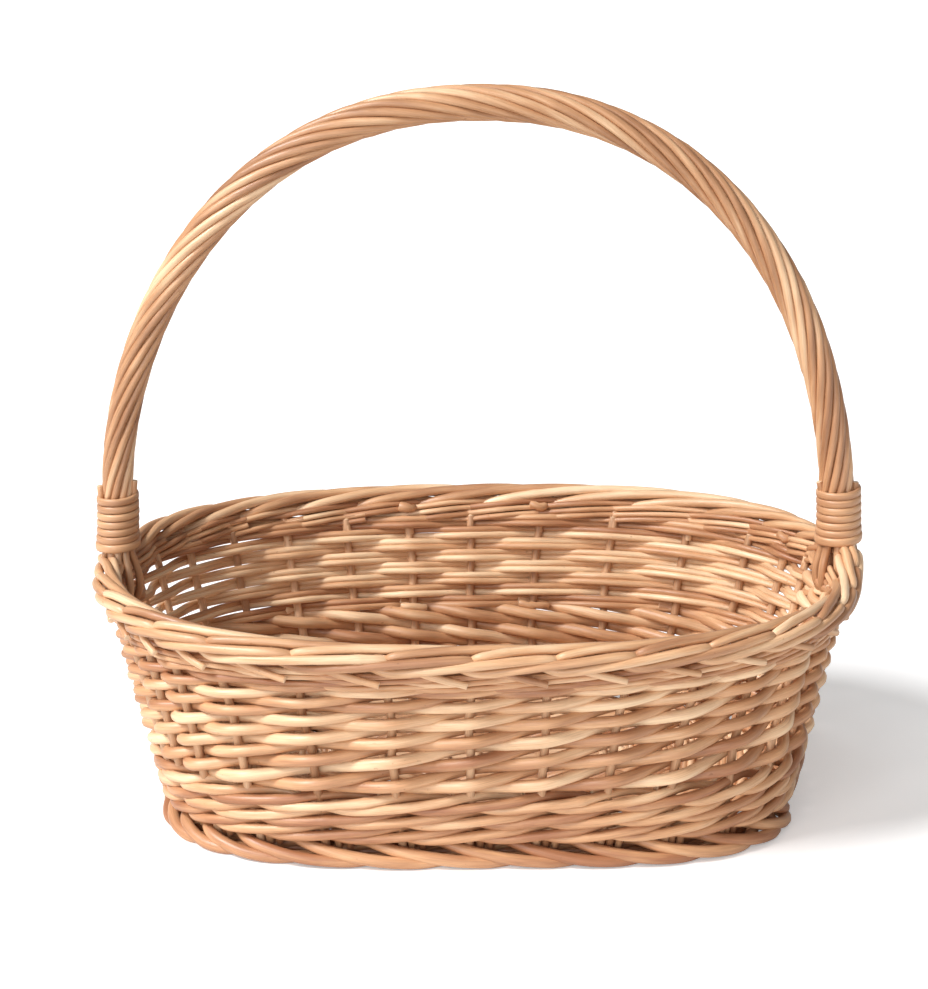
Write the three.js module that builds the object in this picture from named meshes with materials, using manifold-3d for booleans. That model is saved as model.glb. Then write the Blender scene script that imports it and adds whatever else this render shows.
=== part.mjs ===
// Oval wicker gift basket with a fixed roped handle, in millimetres, +Z up, resting on z = 0.
// +X runs along the basket's length, through both feet of the handle.
import * as THREE from 'three';
import { mergeVertices } from 'three/addons/utils/BufferGeometryUtils.js';
import Module from 'manifold-3d';

const wasm = await Module();
wasm.setup();

// Plan of the basket
const RIM_LENGTH = 400; // over the border
const RIM_WIDTH = 280;
const RIM_SQUARENESS = 2.5; // exponent of the oval, 2 being an ellipse
const FOOT_LENGTH = 332; // over the foot border
const FOOT_WIDTH = 206;
const FOOT_SQUARENESS = 3;
const CLEARANCE = 0.3; // between pieces that touch on the real basket

// Layers of the wall, from the floor up
const FOOT_HEIGHT = 13;
const FOOT_GAP = 2; // open slot between the foot border and the upsett
const UPSETT_ROWS = 3;
const UPSETT_ROW_HEIGHT = 8.8;
const SIDE_ROUNDS = 10;
const SIDE_ROUND_HEIGHT = 6.25;
const TOP_WALE_HEIGHT = 8;
const BORDER_HEIGHT = 17;

const upsettBottom = FOOT_HEIGHT + FOOT_GAP;
const upsettTop = upsettBottom + UPSETT_ROWS * UPSETT_ROW_HEIGHT;
const sideTop = upsettTop + SIDE_ROUNDS * SIDE_ROUND_HEIGHT;
const borderBottom = sideTop + TOP_WALE_HEIGHT;
const wallTop = borderBottom + BORDER_HEIGHT;

// Depths of the layers, measured across the wall
const FOOT_REACH_OUT = 6;
const FOOT_REACH_IN = 12;
const UPSETT_REACH = 7.4; // each way from the stakes' line
const UPSETT_GROOVE = 1.8; // depth of the valleys between the rows of the upsett
const BORDER_DEPTH = 17;
const BORDER_OVERHANG = 4; // of the border's middle, outside the stakes' line

// Rods
const STAKE_RADIUS = 2.1;
const WEAVER_RADIUS = 2.7;
const TOP_WALE_RADIUS = 2.4; // across the wall
const LEG_RADIUS = 3; // of the handle bow's ends, where they run down in the wall

// Places around the wall: the stakes, and between them the two legs of the handle
const STAKES_PER_SIDE = 16;
const places = 2 * (STAKES_PER_SIDE + 1);
const LONG_SIDE_SPREAD = 0.287; // how much wider the stakes stand on the long sides than on average
const STAKE_DRIFT = 0.01; // of the rim's round, how far the long sides' stakes stand counter-clockwise
// Stretches of places where the stakes stand off their even spacing, and how far they do in the middle
const STAKE_SHIFTS = [
  { middle: 21.7, reach: 1.7, shift: -0.45 },
  { middle: 7.2, reach: 1.7, shift: 0.2 },
];

// Base: sticks that fan out from a crossing in its middle, and paired rods woven round them
const BASE_THICKNESS = 9; // at its rim
const BASE_WEAVE_THICKNESS = 6;
const BASE_WAVE = 2.5; // how far the weave rises over a stick, and dips under the next
const BASE_ROUNDS = 8;
const BASE_LONG_STICKS = 5;
const BASE_CROSS_STICKS = 9;
const CROSSING_HALF_LENGTH = 76; // where the long sticks leave the crossing
const CROSSING_HALF_WIDTH = 13;

// Handle
const HANDLE_HEIGHT = 381; // floor to the top of the handle
const HANDLE_SPAN = 378; // between the middles of its two sides, at the widest
const HANDLE_SPRING = 11.1; // above the border, where the legs start to bend inward
const LEG_LEAN_HEIGHT = 90; // over which the legs go from the wall's line to the full span
const HANDLE_SQUARENESS = 2.16;
const LEG_BOTTOM_LIFT = 1; // of the legs' ends above the upsett's underside
const CORE_LEG_RADIUS = 4; // under the bindings
const CORE_TOP_RADIUS = 4.9;
const STRANDS = 10;
const STRAND_LEG_RADIUS = 1.75;
const STRAND_TOP_RADIUS = 2.15;
const LAY_LEG_RADIUS = 6.6; // of the circle that the strands' middles wind on
const LAY_TOP_RADIUS = 8;
const LAY_LENGTH = 172; // along the handle, for one turn of a strand

// Bindings round the handle's legs
const BINDING_LIFT = 6; // of the lowest turn's middle above the border
const BINDING_TURNS = 7;
const BINDING_RISE = 4.4; // from turn to turn
const BINDING_ROD_HEIGHT = 3.9;
const BINDING_ROD_DEPTH = 3;
const BINDING_LEAST_GAP = 0.4;

// Steps of the tubes
const ROD_SIDES = 5;
const ROUND_SIDES = 6;
const OVAL_STEPS = 48;
const CORE_STEPS = 34;
const STRAND_STEPS = 36;
const BINDING_STEPS_PER_TURN = 16;

const WILLOW = { color: 0xd9a066, roughness: 0.55, metalness: 0 };
const WILLOW_LIGHT = { color: 0xe6b57c, roughness: 0.5, metalness: 0 };
const WILLOW_DARK = { color: 0xb97d48, roughness: 0.6, metalness: 0 };

const UP = new THREE.Vector3(0, 0, 1);
const DEPTHWISE = new THREE.Vector3(0, 1, 0);
const basket = new THREE.Group();

// A point of the oval that fills a square of half size 1, an ellipse where its squareness is 2
function onOval(angle, squareness) {
  const x = Math.cos(angle);
  const y = Math.sin(angle);
  const reach = (Math.abs(x) ** squareness + Math.abs(y) ** squareness) ** (-1 / squareness);
  return new THREE.Vector2(x * reach, y * reach);
}

// An oval as points at small steps, with the length of its round up to each
function ovalTable(halfLength, halfWidth, squareness) {
  const samples = 2048;
  const table = [];
  let length = 0;
  for (let i = 0; i <= samples; i += 1) {
    const angle = (2 * Math.PI * i) / samples;
    const point = onOval(angle, squareness);
    point.x *= halfLength;
    point.y *= halfWidth;
    if (i > 0) {
      length += point.distanceTo(table[i - 1].point);
    }
    table.push({ point, length });
  }
  return table;
}

function pointAtShare(table, share) {
  const wanted = (share - Math.floor(share)) * table.at(-1).length;
  let low = 0;
  let high = table.length - 1;
  while (high - low > 1) {
    const middle = (low + high) >> 1;
    if (table[middle].length > wanted) high = middle;
    else low = middle;
  }
  const span = table[high].length - table[low].length;
  return table[low].point.clone().lerp(table[high].point, (wanted - table[low].length) / span);
}

// The stakes' line on top of the foot border, and at the height of the border's middle
const borderMiddle = borderBottom + BORDER_HEIGHT / 2;
const rimInset = BORDER_DEPTH / 2 + BORDER_OVERHANG;
const footHalfLength = FOOT_LENGTH / 2 - FOOT_REACH_OUT;
const footHalfWidth = FOOT_WIDTH / 2 - FOOT_REACH_OUT;
const footLine = ovalTable(footHalfLength, footHalfWidth, FOOT_SQUARENESS);
const rimLine = ovalTable(RIM_LENGTH / 2 - rimInset, RIM_WIDTH / 2 - rimInset, RIM_SQUARENESS);

// The share of the round at a place: whole numbers are stakes, place 0 and its opposite are legs
function shareAt(place) {
  const turned = place - places * Math.floor(place / places);
  const shifts = STAKE_SHIFTS.map(({ middle, reach, shift }) => shift * Math.exp(-(((turned - middle) / reach) ** 2)));
  const shifted = shifts.reduce((sum, shift) => sum + shift, place);
  const swing = (4 * Math.PI * shifted) / places;
  const spread = (LONG_SIDE_SPREAD / (4 * Math.PI)) * Math.sin(swing);
  const drift = (STAKE_DRIFT / 2) * (1 - Math.cos(swing));
  return shifted / places - spread + drift;
}

function linePoint(place, height) {
  const share = shareAt(place);
  const low = pointAtShare(footLine, share);
  const high = pointAtShare(rimLine, share);
  return low.lerp(high, (height - FOOT_HEIGHT) / (borderMiddle - FOOT_HEIGHT));
}

// A point of the wall: the place around it, its height, and how far it stands out of the stakes' line
function wallPoint(place, height, out = 0) {
  const step = 0.02;
  const along = linePoint(place + step, height).sub(linePoint(place - step, height)).normalize();
  const point = linePoint(place, height);
  return new THREE.Vector3(point.x + along.y * out, point.y - along.x * out, height);
}

function closedGeometry(positions, faces) {
  const geometry = new THREE.BufferGeometry();
  geometry.setAttribute('position', new THREE.Float32BufferAttribute(positions, 3));
  geometry.setIndex(faces);
  geometry.computeVertexNormals();
  return geometry;
}

// Joins rings of points into a closed skin, capped at both ends or run round into a loop
function skin(rings, looped) {
  const sides = rings[0].length;
  const positions = rings.flat().flatMap((point) => [point.x, point.y, point.z]);
  const faces = [];
  const last = looped ? rings.length : rings.length - 1;
  for (let ring = 0; ring < last; ring += 1) {
    const here = ring * sides;
    const there = ((ring + 1) % rings.length) * sides;
    for (let side = 0; side < sides; side += 1) {
      const next = (side + 1) % sides;
      faces.push(here + side, there + side, here + next);
      faces.push(here + next, there + side, there + next);
    }
  }
  if (!looped) {
    const top = (rings.length - 1) * sides;
    for (let side = 1; side < sides - 1; side += 1) {
      faces.push(0, side, side + 1);
      faces.push(top, top + side + 1, top + side);
    }
  }
  return closedGeometry(positions, faces);
}

// A rod along points. Its section's two half sizes lie across the guide direction and along it.
function rod(points, { sides, across, along = across, guide, looped = false }) {
  const rings = points.map((point, i) => {
    const before = looped ? points.at(i - 1) : points[Math.max(i - 1, 0)];
    const after = looped ? points[(i + 1) % points.length] : points[Math.min(i + 1, points.length - 1)];
    const forward = after.clone().sub(before).normalize();
    const sideways = forward.clone().cross(guide).normalize();
    const upward = sideways.clone().cross(forward);
    return Array.from({ length: sides }, (_, side) => {
      const angle = (2 * Math.PI * (side + 0.5)) / sides;
      const reachAcross = Math.cos(angle) * valueAt(across, i);
      const reachAlong = Math.sin(angle) * valueAt(along, i);
      return point.clone().addScaledVector(sideways, reachAcross).addScaledVector(upward, reachAlong);
    });
  });
  return skin(rings, looped);
}

function valueAt(size, i) {
  return Array.isArray(size) ? size[i] : size;
}

// A band around the wall, from a section of [out, height] points listed counter-clockwise.
// It leans with the wall, or stands upright on the wall's line at one height.
function band(section, lineHeight = null) {
  const rings = Array.from({ length: OVAL_STEPS }, (_, step) => {
    const place = ((step + 0.5) * places) / OVAL_STEPS;
    return section.map(([out, height]) => wallPoint(place, lineHeight ?? height, out).setZ(height));
  });
  return skin(rings, true);
}

function toSolid(geometry) {
  const bare = new THREE.BufferGeometry();
  bare.setAttribute('position', geometry.getAttribute('position').clone());
  bare.setIndex(geometry.index.clone());
  const merged = mergeVertices(bare);
  const mesh = new wasm.Mesh({
    numProp: 3,
    vertProperties: new Float32Array(merged.getAttribute('position').array),
    triVerts: new Uint32Array(merged.index.array),
  });
  return new wasm.Manifold(mesh);
}

function toGeometry(solid) {
  const mesh = solid.getMesh();
  return closedGeometry(Array.from(mesh.vertProperties), Array.from(mesh.triVerts));
}

function cut(geometry, tools) {
  return toGeometry(tools.reduce((solid, tool) => solid.subtract(toSolid(tool)), toSolid(geometry)));
}

function add(name, geometry, look) {
  const mesh = new THREE.Mesh(geometry, new THREE.MeshStandardMaterial(look));
  mesh.name = name;
  basket.add(mesh);
}

function numbered(name, number) {
  return `${name}_${String(number).padStart(2, '0')}`;
}

function isLeg(place) {
  return place % (places / 2) === 0;
}

function uprightRadius(place) {
  return isLeg(place) ? LEG_RADIUS : STAKE_RADIUS;
}

// A straight rod standing in the wall, with level ends
function upright(place, bottom, top, radius) {
  const rings = [top, bottom].map((height) => {
    const middle = wallPoint(place, height);
    return Array.from({ length: ROUND_SIDES }, (_, side) => {
      const angle = (2 * Math.PI * side) / ROUND_SIDES;
      return new THREE.Vector3(Math.cos(angle), Math.sin(angle), 0).multiplyScalar(radius).add(middle);
    });
  });
  return skin(rings, false);
}

// Tools that cut the holes of the stakes and legs through a band, clear of them on their flats too
function uprightTools(bottom, top, chosen = () => true) {
  const overrun = 1;
  const flatToCorner = 1 / Math.cos(Math.PI / ROUND_SIDES);
  return Array.from({ length: places }, (_, place) => place)
    .filter(chosen)
    .map((place) => {
      const radius = (uprightRadius(place) + CLEARANCE) * flatToCorner;
      return upright(place, bottom - overrun, top + overrun, radius);
    });
}

function makeStakes() {
  let number = 0;
  for (let place = 0; place < places; place += 1) {
    if (!isLeg(place)) {
      number += 1;
      const stake = upright(place, FOOT_HEIGHT + CLEARANCE, borderBottom - CLEARANCE, STAKE_RADIUS);
      add(numbered('stake', number), stake, WILLOW_DARK);
    }
  }
}

// The foot border: a band with a flat underside
function makeFoot() {
  const bevel = 4;
  const section = [
    [-FOOT_REACH_IN + bevel, 0],
    [FOOT_REACH_OUT - bevel, 0],
    [FOOT_REACH_OUT, bevel],
    [FOOT_REACH_OUT, FOOT_HEIGHT - bevel],
    [FOOT_REACH_OUT - bevel, FOOT_HEIGHT],
    [-FOOT_REACH_IN + bevel, FOOT_HEIGHT],
    [-FOOT_REACH_IN, FOOT_HEIGHT - bevel],
    [-FOOT_REACH_IN, bevel],
  ];
  add('foot_border', band(section, FOOT_HEIGHT), WILLOW);
}

// Where the sticks' free ends leave the crossing, counter-clockwise from the right end's middle one
function spokeRoots() {
  const ends = Array.from({ length: BASE_LONG_STICKS }, (_, stick) => {
    const y = CROSSING_HALF_WIDTH * ((2 * stick + 1) / BASE_LONG_STICKS - 1);
    return new THREE.Vector2(CROSSING_HALF_LENGTH, y);
  });
  const side = Array.from({ length: BASE_CROSS_STICKS }, (_, stick) => {
    const x = CROSSING_HALF_LENGTH * (1 - (2 * stick + 1) / BASE_CROSS_STICKS);
    return new THREE.Vector2(x, CROSSING_HALF_WIDTH);
  });
  const half = [...ends, ...side];
  const roots = [...half, ...half.map((root) => root.clone().negate())];
  const first = (BASE_LONG_STICKS - 1) / 2;
  return [...roots.slice(first), ...roots.slice(0, first)];
}

// The woven base, whose rim lies on the foot border inside the upsett. Its weave goes over every
// other stick and under the rest, round by round.
function makeBase() {
  const inset = -(UPSETT_REACH + CLEARANCE);
  const bottom = FOOT_HEIGHT + CLEARANCE;
  const top = bottom + BASE_THICKNESS;
  const weaveMiddle = top - BASE_WAVE - BASE_WEAVE_THICKNESS / 2;
  const roots = spokeRoots();
  const ring = (share, heightAt) => roots.map((root, spoke) => {
    const tip = wallPoint((spoke * places) / roots.length, bottom, inset);
    const point = root.clone().lerp(tip, share);
    return new THREE.Vector3(point.x, point.y, heightAt(spoke));
  });
  const face = (side) => {
    const level = weaveMiddle + (side * BASE_WEAVE_THICKNESS) / 2;
    const rings = [ring(0, () => level)];
    for (let round = 0; round < BASE_ROUNDS; round += 1) {
      const share = (round + 0.5) / BASE_ROUNDS;
      rings.push(ring(share, (spoke) => level + ((spoke + round) % 2 === 0 ? BASE_WAVE : -BASE_WAVE)));
    }
    return rings;
  };
  const rings = [...face(1), ring(1, () => top), ring(1, () => bottom), ...face(-1).reverse()];
  add('base_weave', skin(rings, false), WILLOW);
}

// The upsett: rows of waling with a valley between them, pierced by the stakes and the legs
function makeUpsett() {
  const outside = [];
  for (let row = 0; row < UPSETT_ROWS; row += 1) {
    const bottom = upsettBottom + row * UPSETT_ROW_HEIGHT;
    outside.push([UPSETT_REACH - UPSETT_GROOVE, bottom]);
    outside.push([UPSETT_REACH, bottom + UPSETT_ROW_HEIGHT / 2]);
  }
  outside.push([UPSETT_REACH - UPSETT_GROOVE, upsettTop]);
  const inside = [[-UPSETT_REACH, upsettTop - UPSETT_GROOVE], [-UPSETT_REACH, upsettBottom]];
  const geometry = cut(band([...outside, ...inside]), uprightTools(upsettBottom, upsettTop));
  add('upsett_wale', geometry, WILLOW_LIGHT);
}

// One round of weaving, in front of every other upright and behind the rest
function weaverRound(height, acrossRadius, heightRadius, parity) {
  const flat = 0.17; // of a place, each way, where the rod lies level across an upright
  const points = [];
  for (let place = 0; place < places; place += 1) {
    const front = (place + parity) % 2 === 0 ? 1 : -1;
    const out = front * (uprightRadius(place) + CLEARANCE + acrossRadius);
    points.push(wallPoint(place - flat, height, out));
    points.push(wallPoint(place + flat, height, out));
  }
  const section = { sides: ROD_SIDES, across: acrossRadius, along: heightRadius };
  return rod(points, { ...section, guide: UP, looped: true });
}

function makeSide() {
  for (let round = 0; round < SIDE_ROUNDS; round += 1) {
    const height = upsettTop + (round + 0.5) * SIDE_ROUND_HEIGHT;
    const geometry = weaverRound(height, WEAVER_RADIUS, WEAVER_RADIUS, round % 2);
    add(numbered('side_weave', round + 1), geometry, WILLOW_LIGHT);
  }
}

function makeTopWale() {
  const height = sideTop + TOP_WALE_HEIGHT / 2;
  const heightRadius = TOP_WALE_HEIGHT / 2 - CLEARANCE;
  add('top_wale', weaverRound(height, TOP_WALE_RADIUS, heightRadius, SIDE_ROUNDS % 2), WILLOW);
}

// The rolled border: a round-sided band, pierced by the legs of the handle
function makeBorder() {
  const sides = 10;
  const squareness = 3;
  const section = Array.from({ length: sides }, (_, side) => {
    const corner = onOval((2 * Math.PI * (side + 0.5)) / sides - Math.PI / 2, squareness);
    return [BORDER_OVERHANG + (corner.x * BORDER_DEPTH) / 2, borderMiddle + (corner.y * BORDER_HEIGHT) / 2];
  });
  const border = cut(band(section, borderMiddle), uprightTools(borderBottom, wallTop, isLeg));
  add('rim_border', border, WILLOW_LIGHT);
}

// The handle's line, from the left leg over the top to the right one, in the plane y = 0
const handleBottom = wallTop + CLEARANCE;
const springHeight = wallTop + HANDLE_SPRING;
const archRise = HANDLE_HEIGHT - LAY_TOP_RADIUS - STRAND_TOP_RADIUS - springHeight;

// Half the span at a height, from that of the wall's line on top of the border to the full one
function halfSpan(height) {
  const wallHalf = wallPoint(0, handleBottom).x;
  const share = Math.min((height - handleBottom) / LEG_LEAN_HEIGHT, 1);
  return wallHalf + (HANDLE_SPAN / 2 - wallHalf) * share;
}

function archPoint(share) {
  const point = onOval(Math.PI * (1 - share), HANDLE_SQUARENESS);
  const height = springHeight + point.y * archRise;
  return new THREE.Vector3(point.x * halfSpan(height), 0, height);
}

// The arch with a short leg at each end, down to the wall's own line on top of the border
function handleCurve() {
  const left = wallPoint(places / 2, handleBottom);
  const right = wallPoint(0, handleBottom);
  const samples = 96;
  const arch = Array.from({ length: samples + 1 }, (_, i) => archPoint(i / samples));
  return new THREE.CatmullRomCurve3([left, ...arch, right], false, 'centripetal');
}

const handleLine = handleCurve();
const handleLength = handleLine.getLength();

// The handle's middle at a share of its length, and the direction out of its arch
function handleFrame(share) {
  const middle = handleLine.getPointAt(share);
  const outward = handleLine.getTangentAt(share).cross(DEPTHWISE);
  return { middle, outward };
}

// A size along the handle, from its value at the legs to that over the top of the arch
function swelling(share, atLeg, atTop) {
  return atLeg + (atTop - atLeg) * Math.sin(Math.PI * share);
}

function layRadius(share) {
  return swelling(share, LAY_LEG_RADIUS, LAY_TOP_RADIUS);
}

function strandRadius(share) {
  return swelling(share, STRAND_LEG_RADIUS, STRAND_TOP_RADIUS);
}

// The bow inside the handle, whose ends run down in the wall to the upsett
function makeCore() {
  const arch = handleLine.getSpacedPoints(CORE_STEPS);
  const radii = arch.map((_, i) => swelling(i / CORE_STEPS, CORE_LEG_RADIUS, CORE_TOP_RADIUS));
  radii[0] = LEG_RADIUS;
  radii[CORE_STEPS] = LEG_RADIUS;
  const footHeight = upsettBottom + LEG_BOTTOM_LIFT;
  const points = [wallPoint(places / 2, footHeight), ...arch, wallPoint(0, footHeight)];
  const across = [LEG_RADIUS, ...radii, LEG_RADIUS];
  add('handle_core', rod(points, { sides: ROUND_SIDES, across, guide: DEPTHWISE }), WILLOW_DARK);
}

// The strands roped round the bow: on the front of the handle's top they run down to the right
function makeStrands() {
  for (let strand = 0; strand < STRANDS; strand += 1) {
    const points = [];
    const radii = [];
    for (let step = 0; step <= STRAND_STEPS; step += 1) {
      const share = step / STRAND_STEPS;
      const { middle, outward } = handleFrame(share);
      const turn = 2 * Math.PI * (strand / STRANDS + (share * handleLength) / LAY_LENGTH);
      middle.addScaledVector(outward, Math.cos(turn) * layRadius(share));
      middle.addScaledVector(DEPTHWISE, -Math.sin(turn) * layRadius(share));
      points.push(middle);
      radii.push(strandRadius(share));
    }
    const geometry = rod(points, { sides: ROD_SIDES, across: radii, guide: DEPTHWISE });
    add(numbered('handle_rod', strand + 1), geometry, WILLOW);
  }
}

// The least distance between two turns of one winding, on the corners of its sections
function leastGap(geometry, sides, stepsApart) {
  const position = geometry.getAttribute('position');
  const corner = new THREE.Vector3();
  const other = new THREE.Vector3();
  let least = Infinity;
  for (let i = 0; i < position.count; i += 1) {
    corner.fromBufferAttribute(position, i);
    for (let j = i + stepsApart * sides; j < position.count; j += 1) {
      other.fromBufferAttribute(position, j);
      least = Math.min(least, corner.distanceTo(other));
    }
  }
  return least;
}

// A binding: one rod wound up round the strands of a leg, its ends straight for one rod's height
function makeBinding(name, shareAtRise) {
  const bindingHeight = BINDING_TURNS * BINDING_RISE;
  const topShare = (BINDING_LIFT + bindingHeight) / handleLength;
  const legHalf = layRadius(topShare) + strandRadius(topShare);
  const flatToCorner = 1 / Math.cos(Math.PI / BINDING_STEPS_PER_TURN);
  const coil = (legHalf + CLEARANCE + BINDING_ROD_DEPTH / 2) * flatToCorner;
  const steps = BINDING_TURNS * BINDING_STEPS_PER_TURN;
  const bottom = BINDING_LIFT - BINDING_RISE / 2;
  const points = [];
  for (let step = 0; step <= steps; step += 1) {
    const turns = step / BINDING_STEPS_PER_TURN;
    const angle = 2 * Math.PI * turns + Math.PI / 2;
    const { middle, outward } = handleFrame(shareAtRise(bottom + turns * BINDING_RISE));
    middle.addScaledVector(outward, Math.cos(angle) * coil);
    middle.addScaledVector(DEPTHWISE, Math.sin(angle) * coil);
    points.push(middle);
  }
  const start = points[0].clone().sub(points[1]).setLength(BINDING_ROD_HEIGHT);
  const end = points.at(-1).clone().sub(points.at(-2)).setLength(BINDING_ROD_HEIGHT);
  points.unshift(points[0].clone().add(start));
  points.push(points.at(-1).clone().add(end));
  const geometry = rod(points, {
    sides: ROUND_SIDES,
    across: BINDING_ROD_DEPTH / 2,
    along: BINDING_ROD_HEIGHT / 2,
    guide: handleLine.getTangentAt(shareAtRise(bottom + bindingHeight / 2)),
  });
  const gap = leastGap(geometry, ROUND_SIDES, BINDING_STEPS_PER_TURN / 2);
  console.log(`${name}: least gap to itself ${gap.toFixed(2)} mm, wanted over ${BINDING_LEAST_GAP} mm`);
  add(name, geometry, WILLOW_LIGHT);
}

makeFoot();
makeBase();
makeStakes();
makeUpsett();
makeSide();
makeTopWale();
makeBorder();
makeCore();
makeStrands();
makeBinding('binding_left', (rise) => rise / handleLength);
makeBinding('binding_right', (rise) => 1 - rise / handleLength);

export default basket;
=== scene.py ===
# Oval wicker gift basket with a fixed roped handle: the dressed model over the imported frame, in metres.
import math

import bpy
import numpy as np
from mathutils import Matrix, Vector


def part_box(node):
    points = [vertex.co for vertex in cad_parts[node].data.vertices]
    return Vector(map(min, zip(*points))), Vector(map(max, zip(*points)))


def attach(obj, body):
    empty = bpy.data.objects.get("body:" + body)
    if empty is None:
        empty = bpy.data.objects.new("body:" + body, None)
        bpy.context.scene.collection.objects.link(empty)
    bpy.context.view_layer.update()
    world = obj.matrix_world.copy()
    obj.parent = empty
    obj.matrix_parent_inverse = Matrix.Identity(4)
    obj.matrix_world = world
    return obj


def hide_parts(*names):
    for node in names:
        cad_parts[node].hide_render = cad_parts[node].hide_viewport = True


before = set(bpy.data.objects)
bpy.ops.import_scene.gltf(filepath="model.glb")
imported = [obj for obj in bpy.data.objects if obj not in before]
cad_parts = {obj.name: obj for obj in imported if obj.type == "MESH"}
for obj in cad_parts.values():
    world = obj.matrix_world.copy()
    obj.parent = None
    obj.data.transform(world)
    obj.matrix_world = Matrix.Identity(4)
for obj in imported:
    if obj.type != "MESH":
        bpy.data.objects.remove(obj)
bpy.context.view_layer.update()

MM = 0.001
random = np.random.default_rng(11)

# The frame's own sizes
rim_low, rim_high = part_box("rim_border")
foot_low, foot_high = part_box("foot_border")
upsett_low, upsett_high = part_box("upsett_wale")
base_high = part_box("base_weave")[1]
handle_top = max(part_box(f"handle_rod_{number:02d}")[1].z for number in range(1, 11))
FOOT_TOP = foot_high.z
BORDER_MIDDLE = (rim_low.z + rim_high.z) / 2
WALL_TOP = rim_high.z

# Places around the wall. Whole ones are stakes, but 0 and 17 are the handle's right and left leg. The
# back runs from 1 to 16, right to left, and the front from 18 to 33, left to right.
STAKES_PER_SIDE = 16
PLACES = 2 * (STAKES_PER_SIDE + 1)
LONG_SIDE_SPREAD = 0.287
STAKE_DRIFT = 0.01
STAKE_SHIFTS = (  # place, reach and shift in places
    (21.7, 1.7, -0.45),
    (7.2, 1.7, 0.2),
    (30, 1.8, 0.2),
    (3.6, 1.8, -0.36),
)
PLACE_STEP = 0.02  # to either side, for the wall's direction at a place

# The stakes' line around the wall, on top of the foot and at the middle of the border
FOOT_SQUARENESS = 3
RIM_SQUARENESS = 2.5
FOOT_INSET = 6 * MM
RIM_INSET = 12.5 * MM
OVAL_POINTS = 4097

# Where the wall departs from an even one. Reaches are in places.
RISE_FROM = 60 * MM
LEFT_RISE = 7.5 * MM
LEFT_RISE_BACK_REACH = 1.3
LEFT_RISE_FRONT_REACH = 5
RIGHT_RISE = 11 * MM
RIGHT_RISE_REACH = 1.15
RIGHT_DIP = 5 * MM
RIGHT_DIP_REACH = 0.35
FRONT_RISE = 0.6 * MM
WALL_SWELLS = ((28.8, 2.3, 9.5 * MM), (33.6, 1.4, 6 * MM))  # place, reach and how far out at the floor

# Rods
STAKE_RADIUS = 2.1 * MM
ROD_TONES = (0.15, 0.88)  # the darkest and the palest rod of a piece
RADIUS_VARIATION = 0.035
KNOT_SWELLING = 0.1
KNOT_REACH = 2.2 * MM
CUT_END_RINGS = ((0.1, 0.95), (0.16, 0.75))  # how far past the end, and how wide, in radii
CUT_END_TIP = 0.18
GRAIN_LENGTH = 40  # metres of grain, along which each rod starts anywhere
SIDES = 10
RING_SPACING = 2.2 * MM
STRAIGHT_RING_SPACING = 5 * MM
CURVE_STEPS = 16  # from one control row of a curve to the next
PATH_STEPS = 12


def bell(distance, reach):
    """1 at no distance, falling off smoothly to 0 past the reach."""
    return np.exp(-((distance / reach) ** 2))


def unit(vectors):
    return vectors / np.maximum(np.linalg.norm(vectors, axis=-1, keepdims=True), 1e-12)


def length_along(points):
    """How far along their path the points lie."""
    steps = np.linalg.norm(np.diff(points, axis=0), axis=1)
    return np.concatenate([[0], np.cumsum(steps)])


def rows_at(wanted, known, rows):
    """Rows at the wanted values, between the rows at the known ones."""
    return np.stack([np.interp(wanted, known, column) for column in rows.T], -1)


def squared_arc(angle, squareness):
    """Points of a round of half size 1, squarer than a circle where its squareness is over 2."""
    corner = np.stack([np.cos(angle), np.sin(angle)], 1)
    reach = (np.abs(corner) ** squareness).sum(1) ** (-1 / squareness)
    return corner * reach[:, None]


def oval_line(half_size, squareness):
    """The share of an oval's round up to each of its points, and the points."""
    points = squared_arc(np.linspace(0, 2 * math.pi, OVAL_POINTS), squareness) * np.array(half_size)
    length = length_along(points)
    return length / length[-1], points


foot_line = oval_line((foot_high.x - FOOT_INSET, foot_high.y - FOOT_INSET), FOOT_SQUARENESS)
rim_line = oval_line((rim_high.x - RIM_INSET, rim_high.y - RIM_INSET), RIM_SQUARENESS)


def share_at(place):
    """The share of the round at a place."""
    even = np.asarray(place, float)
    turned = even % PLACES
    place = even + sum(shift * bell(turned - middle, reach) for middle, reach, shift in STAKE_SHIFTS)
    swing = 4 * math.pi * place / PLACES
    spread = LONG_SIDE_SPREAD / (4 * math.pi) * np.sin(swing)
    return place / PLACES - spread + STAKE_DRIFT / 2 * (1 - np.cos(swing))


def line_point(place, height):
    """A point of the stakes' line from above, at a height between the foot's oval and the rim's."""
    share = share_at(place) % 1
    lean = ((height - FOOT_TOP) / (BORDER_MIDDLE - FOOT_TOP))[..., None]
    return rows_at(share, *foot_line) * (1 - lean) + rows_at(share, *rim_line) * lean


def rim_rise(place):
    """How far the rim stands over its even level: it climbs to both legs, longest along the front left."""
    turned = place % PLACES
    from_left = turned - PLACES / 2
    from_right = np.minimum(turned, PLACES - turned)
    left_reach = np.where(from_left > 0, LEFT_RISE_FRONT_REACH, LEFT_RISE_BACK_REACH)
    left = LEFT_RISE * bell(from_left, left_reach)
    right = RIGHT_RISE * bell(from_right, RIGHT_RISE_REACH) - RIGHT_DIP * bell(from_right, RIGHT_DIP_REACH)
    return left + right - FRONT_RISE * np.sin(2 * math.pi * place / PLACES)


def swelling_at(place, swells):
    """How far a place stands out for a list of swells, each with its place, reach and size."""
    return sum(
        size * bell((place - middle + PLACES / 2) % PLACES - PLACES / 2, reach)
        for middle, reach, size in swells
    )


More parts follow.
